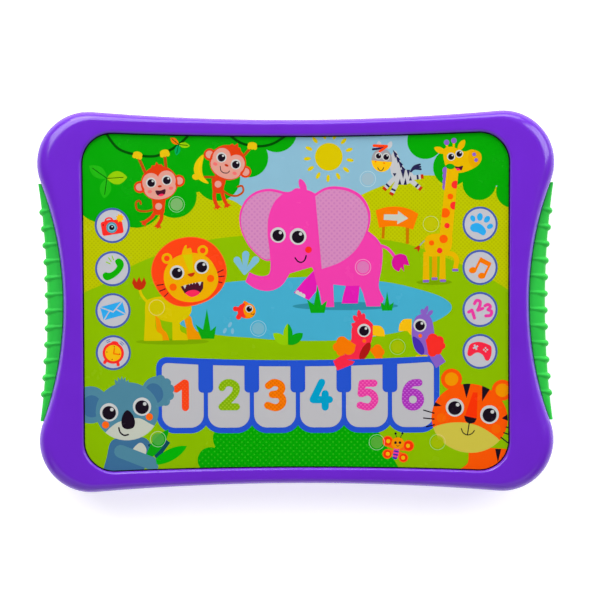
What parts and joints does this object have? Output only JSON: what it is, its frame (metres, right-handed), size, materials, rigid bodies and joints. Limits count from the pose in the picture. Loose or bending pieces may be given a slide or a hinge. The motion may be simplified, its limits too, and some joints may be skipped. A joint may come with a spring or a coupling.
{
  "type": "toy tablet",
  "caption": "Kids toy tablet: purple waisted casing with ribbed green side grips, a printed touch panel with round picture keys and numbered piano keys, and a screwed battery door in its back.",
  "frame": {"origin": "under the middle of the casing, on the flat back face that the tablet lies on", "axes": "+X along the long side to the right of the panel, +Y towards the panel's top edge, +Z out of the panel"},
  "size_m": [0.2398, 0.1772, 0.027],
  "materials": {
    "purple_gloss": "glossy moulded plastic",
    "green_satin": "satin moulded plastic",
    "printed_film": "printed film, semi-gloss",
    "key_white": "printed film, semi-gloss",
    "clear_sheet": "smooth film",
    "spacer_sheet": "adhesive-coated film",
    "white_plastic": "matte moulded plastic",
    "board_tan": "bare phenolic board",
    "light_lens": "clear moulded resin",
    "black_resin": "glossy black resin",
    "steel": "plated steel",
    "cone_paper": "matte paper cone",
    "cell_jacket": "printed metal jacket",
    "red_lead": "flexible wire insulation",
    "black_lead": "flexible wire insulation"
  },
  "bodies": {
    "case": {"front_bezel": "purple_gloss", "rear_casing": "purple_gloss", "left_grip": "green_satin", "right_grip": "green_satin", "overlay_film": "printed_film", "membrane_upper": "clear_sheet", "membrane_spacer": "spacer_sheet", "membrane_lower": "clear_sheet", "support_plate": "white_plastic", "main_board": "board_tan", "sound_chip": "black_resin", "tail_clamp": "white_plastic", "speaker_frame": "steel", "switch_body": "steel", "cell_1": "cell_jacket", "cell_2": "cell_jacket", "cell_3": "cell_jacket", "contact_plus": "steel", "contact_minus": "steel", "contact_bridge_left": "steel", "contact_bridge_right": "steel", "case_screw_1": "steel", "case_screw_2": "steel", "case_screw_3": "steel", "case_screw_4": "steel", "board_screw_1": "steel", "board_screw_2": "steel", "lead_plus": "red_lead", "lead_minus": "black_lead", "speaker_lead_red": "red_lead", "speaker_lead_black": "black_lead", "led_1": "light_lens", "led_2": "light_lens", "led_3": "light_lens", "led_4": "light_lens", "led_5": "light_lens", "led_6": "light_lens", "led_7": "light_lens", "led_8": "light_lens", "led_9": "light_lens", "led_10": "light_lens"},
    "key_camera": {"key_camera": "key_white"},
    "key_phone": {"key_phone": "key_white"},
    "key_mail": {"key_mail": "key_white"},
    "key_alarm": {"key_alarm": "key_white"},
    "key_paw": {"key_paw": "key_white"},
    "key_music": {"key_music": "key_white"},
    "key_numbers": {"key_numbers": "key_white"},
    "key_gamepad": {"key_gamepad": "key_white"},
    "key_1": {"key_1": "key_white"},
    "key_2": {"key_2": "key_white"},
    "key_3": {"key_3": "key_white"},
    "key_4": {"key_4": "key_white"},
    "key_5": {"key_5": "key_white"},
    "key_6": {"key_6": "key_white"},
    "door": {"battery_door": "purple_gloss"},
    "door_screw": {"door_screw": "steel"},
    "switch": {"switch_slider": "white_plastic"},
    "cone": {"speaker_cone": "cone_paper"}
  },
  "joints": [
    {"name": "key_camera_press", "type": "slide", "parent": "case", "child": "key_camera", "axis": [0, 0, -1], "range_m": [0, 0.0004], "stiffness_N_per_m": 5000},
    {"name": "key_phone_press", "type": "slide", "parent": "case", "child": "key_phone", "axis": [0, 0, -1], "range_m": [0, 0.0004], "stiffness_N_per_m": 5000},
    {"name": "key_mail_press", "type": "slide", "parent": "case", "child": "key_mail", "axis": [0, 0, -1], "range_m": [0, 0.0004], "stiffness_N_per_m": 5000},
    {"name": "key_alarm_press", "type": "slide", "parent": "case", "child": "key_alarm", "axis": [0, 0, -1], "range_m": [0, 0.0004], "stiffness_N_per_m": 5000},
    {"name": "key_paw_press", "type": "slide", "parent": "case", "child": "key_paw", "axis": [0, 0, -1], "range_m": [0, 0.0004], "stiffness_N_per_m": 5000},
    {"name": "key_music_press", "type": "slide", "parent": "case", "child": "key_music", "axis": [0, 0, -1], "range_m": [0, 0.0004], "stiffness_N_per_m": 5000},
    {"name": "key_numbers_press", "type": "slide", "parent": "case", "child": "key_numbers", "axis": [0, 0, -1], "range_m": [0, 0.0004], "stiffness_N_per_m": 5000},
    {"name": "key_gamepad_press", "type": "slide", "parent": "case", "child": "key_gamepad", "axis": [0, 0, -1], "range_m": [0, 0.0004], "stiffness_N_per_m": 5000},
    {"name": "key_1_press", "type": "slide", "parent": "case", "child": "key_1", "axis": [0, 0, -1], "range_m": [0, 0.0004], "stiffness_N_per_m": 5000},
    {"name": "key_2_press", "type": "slide", "parent": "case", "child": "key_2", "axis": [0, 0, -1], "range_m": [0, 0.0004], "stiffness_N_per_m": 5000},
    {"name": "key_3_press", "type": "slide", "parent": "case", "child": "key_3", "axis": [0, 0, -1], "range_m": [0, 0.0004], "stiffness_N_per_m": 5000},
    {"name": "key_4_press", "type": "slide", "parent": "case", "child": "key_4", "axis": [0, 0, -1], "range_m": [0, 0.0004], "stiffness_N_per_m": 5000},
    {"name": "key_5_press", "type": "slide", "parent": "case", "child": "key_5", "axis": [0, 0, -1], "range_m": [0, 0.0004], "stiffness_N_per_m": 5000},
    {"name": "key_6_press", "type": "slide", "parent": "case", "child": "key_6", "axis": [0, 0, -1], "range_m": [0, 0.0004], "stiffness_N_per_m": 5000},
    {"name": "door_hinge", "type": "hinge", "parent": "case", "child": "door", "pos_m": [0, -0.0676, 0], "axis": [-1, 0, 0], "range_deg": [0, 80]},
    {"name": "door_screw_turn", "type": "hinge", "parent": "door", "child": "door_screw", "pos_m": [0, -0.011, 0], "axis": [0, 0, -1], "continuous": true},
    {"name": "switch_slide", "type": "slide", "parent": "case", "child": "switch", "axis": [1, 0, 0], "range_m": [-0.002, 0.002]},
    {"name": "cone_stroke", "type": "slide", "parent": "case", "child": "cone", "axis": [0, 0, 1], "range_m": [-0.0004, 0.0004], "stiffness_N_per_m": 1500}
  ]
}
